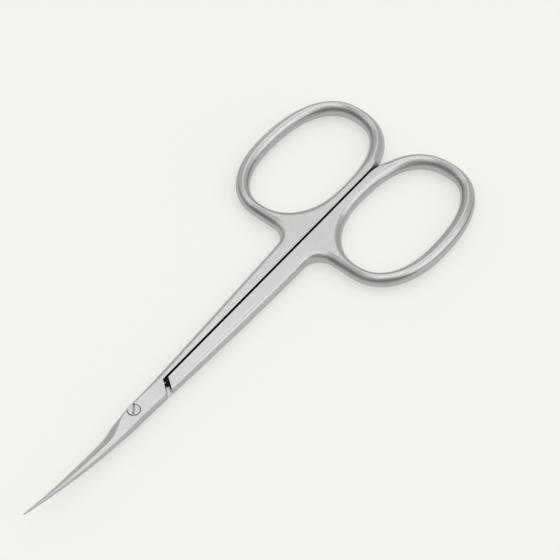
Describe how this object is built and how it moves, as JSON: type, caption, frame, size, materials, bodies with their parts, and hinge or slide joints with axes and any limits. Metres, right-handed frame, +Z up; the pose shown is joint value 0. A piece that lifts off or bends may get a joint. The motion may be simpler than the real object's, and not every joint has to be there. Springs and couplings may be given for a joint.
{
  "type": "cuticle scissors",
  "caption": "Slim steel cuticle scissors with oval finger bows, long straight shanks, a screwed lap joint and short fine blades with a slight upward curve.",
  "frame": {"origin": "on the table, under the middle of the bounding box of the closed scissors", "axes": "+X from the blade tips to the finger bows, +Z up from the table, square to the mating faces at the screw"},
  "size_m": [0.09, 0.037, 0.0042],
  "materials": {
    "satin_steel": "satin stainless steel, forged, ground and brushed",
    "screw_steel": "turned stainless steel, satin"
  },
  "bodies": {
    "lower": {"lower_half": "satin_steel", "pivot_screw": "screw_steel"},
    "upper": {"upper_half": "satin_steel"}
  },
  "joints": [
    {"name": "pivot", "type": "hinge", "parent": "lower", "child": "upper", "pos_m": [-0.0221, 0, 0.00158], "axis": [0, 0, 1], "range_deg": [0, 90]}
  ]
}
